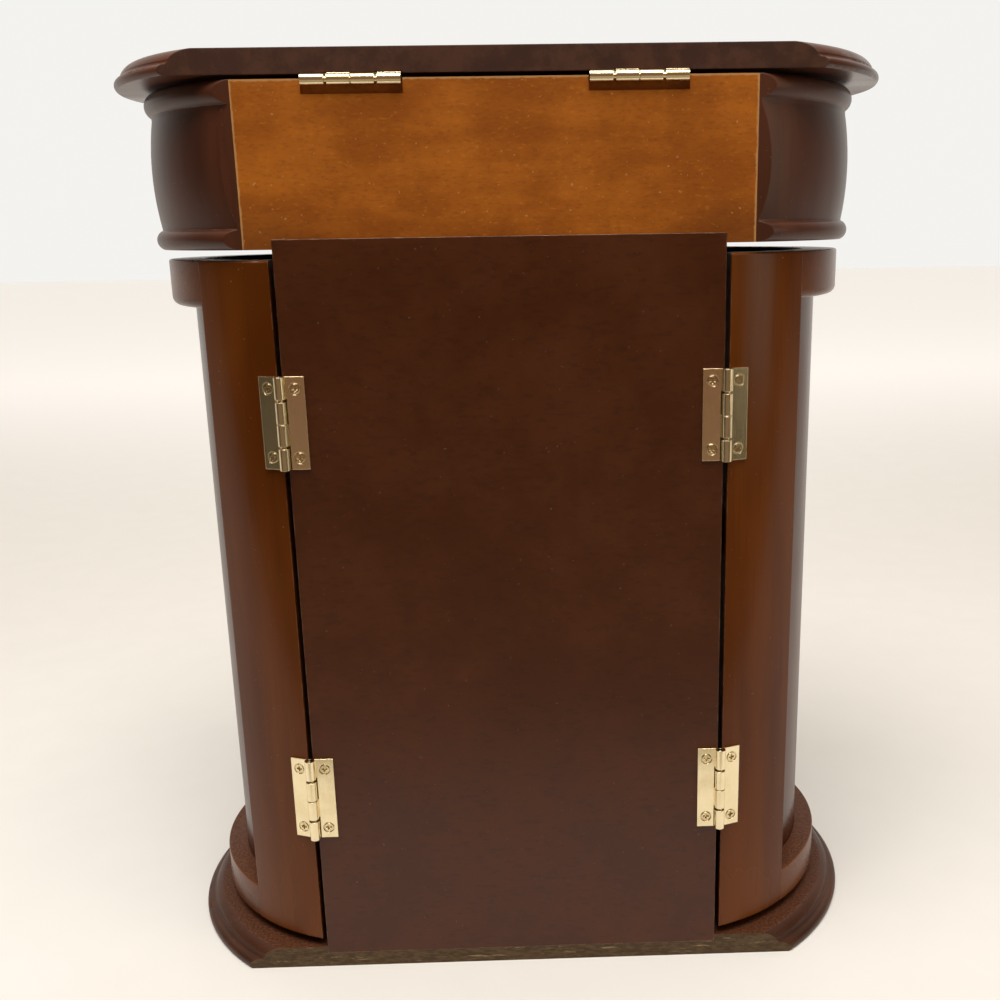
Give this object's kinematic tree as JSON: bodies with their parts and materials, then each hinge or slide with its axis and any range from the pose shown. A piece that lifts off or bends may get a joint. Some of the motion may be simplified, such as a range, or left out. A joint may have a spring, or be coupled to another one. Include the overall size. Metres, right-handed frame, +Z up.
{
  "type": "jewelry chest",
  "caption": "Wooden jewelry chest with round ends: drawers at the front, a lidded ring tray on top and bent side doors that swing out for hanging necklaces.",
  "frame": {"origin": "on the floor, under the middle of the chest's box", "axes": "+Z up, +Y towards the back panel, +X to the right of someone facing the drawers"},
  "size_m": [0.3312, 0.1784, 0.3955],
  "materials": {
    "stained_wood": "semi-gloss dark red-brown stain",
    "back_panel_wood": "satin dark brown painted board",
    "back_board_wood": "satin orange-brown stained board",
    "drawer_wood": "satin clear-finished wood",
    "brass": "polished pale brass plate",
    "velvet": "short velvet pile",
    "mirror_glass": "silvered glass",
    "magnet_case": "moulded catch with a magnet"
  },
  "bodies": {
    "chest": {"base_board": "stained_wood", "back_panel": "back_panel_wood", "side_wall_right": "stained_wood", "side_wall_left": "stained_wood", "drawer_shelves": "drawer_wood", "top_box_end_right": "stained_wood", "top_box_end_left": "stained_wood", "top_box_front": "stained_wood", "top_box_floor": "drawer_wood", "top_box_back": "back_board_wood", "tray_lining": "velvet", "tray_divider": "stained_wood", "ring_rolls": "velvet", "lid_hinge_fixed_leaves": "brass", "lid_hinge_pins": "brass", "lid_hinge_fixed_screws": "brass", "door_hinge_fixed_leaves": "brass", "door_hinge_pins": "brass", "door_hinge_fixed_screws": "brass", "door_catches": "magnet_case"},
    "lid": {"lid_board": "stained_wood", "lid_mirror": "mirror_glass", "lid_mirror_frame": "stained_wood", "lid_hinge_moving_leaves": "brass", "lid_hinge_moving_screws": "brass"},
    "door_left": {"door_left_back_stile": "stained_wood", "door_left_front_stile": "stained_wood", "door_left_top_rail": "stained_wood", "door_left_bottom_rail": "stained_wood", "door_left_panel": "stained_wood", "door_left_hinge_leaves": "brass", "door_left_hinge_screws": "brass", "door_left_knob": "brass", "door_left_necklace_hooks": "brass"},
    "door_right": {"door_right_back_stile": "stained_wood", "door_right_front_stile": "stained_wood", "door_right_top_rail": "stained_wood", "door_right_bottom_rail": "stained_wood", "door_right_panel": "stained_wood", "door_right_hinge_leaves": "brass", "door_right_hinge_screws": "brass", "door_right_knob": "brass", "door_right_necklace_hooks": "brass"},
    "drawer_1": {"drawer_1_front": "stained_wood", "drawer_1_box": "drawer_wood", "drawer_1_lining": "velvet", "drawer_1_knob": "brass"},
    "drawer_2": {"drawer_2_front": "stained_wood", "drawer_2_box": "drawer_wood", "drawer_2_lining": "velvet", "drawer_2_knob": "brass"},
    "drawer_3": {"drawer_3_front": "stained_wood", "drawer_3_box": "drawer_wood", "drawer_3_lining": "velvet", "drawer_3_knob": "brass"},
    "drawer_4": {"drawer_4_front": "stained_wood", "drawer_4_box": "drawer_wood", "drawer_4_lining": "velvet", "drawer_4_knob": "brass"}
  },
  "joints": [
    {"name": "lid_hinge", "type": "hinge", "parent": "chest", "child": "lid", "pos_m": [0, 0.08238, 0.38385], "axis": [-1, 0, 0], "range_deg": [0, 105]},
    {"name": "door_left_hinge", "type": "hinge", "parent": "chest", "child": "door_left", "pos_m": [-0.09, 0.08698, 0.1695], "axis": [0, 0, -1], "range_deg": [0, 120]},
    {"name": "door_right_hinge", "type": "hinge", "parent": "chest", "child": "door_right", "pos_m": [0.09, 0.08698, 0.1695], "axis": [0, 0, 1], "range_deg": [0, 120]},
    {"name": "drawer_1_slide", "type": "slide", "parent": "chest", "child": "drawer_1", "axis": [0, -1, 0], "range_m": [0, 0.11]},
    {"name": "drawer_2_slide", "type": "slide", "parent": "chest", "child": "drawer_2", "axis": [0, -1, 0], "range_m": [0, 0.11]},
    {"name": "drawer_3_slide", "type": "slide", "parent": "chest", "child": "drawer_3", "axis": [0, -1, 0], "range_m": [0, 0.11]},
    {"name": "drawer_4_slide", "type": "slide", "parent": "chest", "child": "drawer_4", "axis": [0, -1, 0], "range_m": [0, 0.11]}
  ]
}
